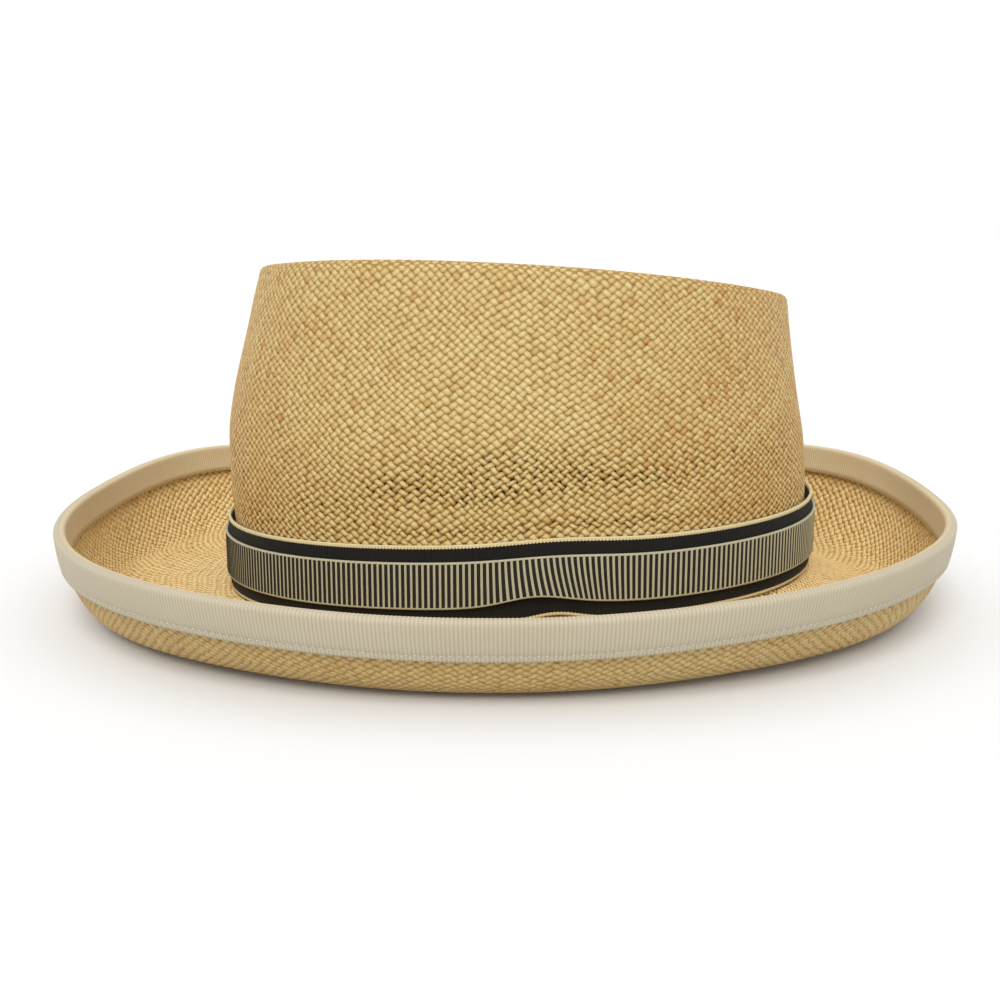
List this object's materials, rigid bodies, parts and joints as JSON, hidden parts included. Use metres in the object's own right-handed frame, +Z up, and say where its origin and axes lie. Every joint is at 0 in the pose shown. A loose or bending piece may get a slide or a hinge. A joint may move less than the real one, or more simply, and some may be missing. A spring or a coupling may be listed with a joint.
{
  "type": "straw hat",
  "caption": "Woven straw hat with an oval creased crown, a rolled brim bound in ribbon, a wide dark hat band and a narrower striped band laid over it.",
  "frame": {"origin": "middle of the bounding box at its base, on the surface that the brim rests on", "axes": "+Z up, +X along the hat's length from front to back, so the front of the hat faces -X; -Y is the side that the picture shows"},
  "size_m": [0.309, 0.2774, 0.1172],
  "materials": {
    "straw": "natural woven straw, low sheen",
    "binding_ribbon": "ribbed cream ribbon, matte",
    "dark_ribbon": "black ribbed ribbon with a cream edge, matte",
    "striped_ribbon": "fine cream and black stripes, slight sheen"
  },
  "bodies": {
    "root": {"straw_top": "straw", "straw_side": "straw", "straw_brim": "straw", "straw_roll": "straw", "brim_binding": "binding_ribbon", "wide_band": "dark_ribbon", "striped_band": "striped_ribbon"}
  },
  "joints": []
}
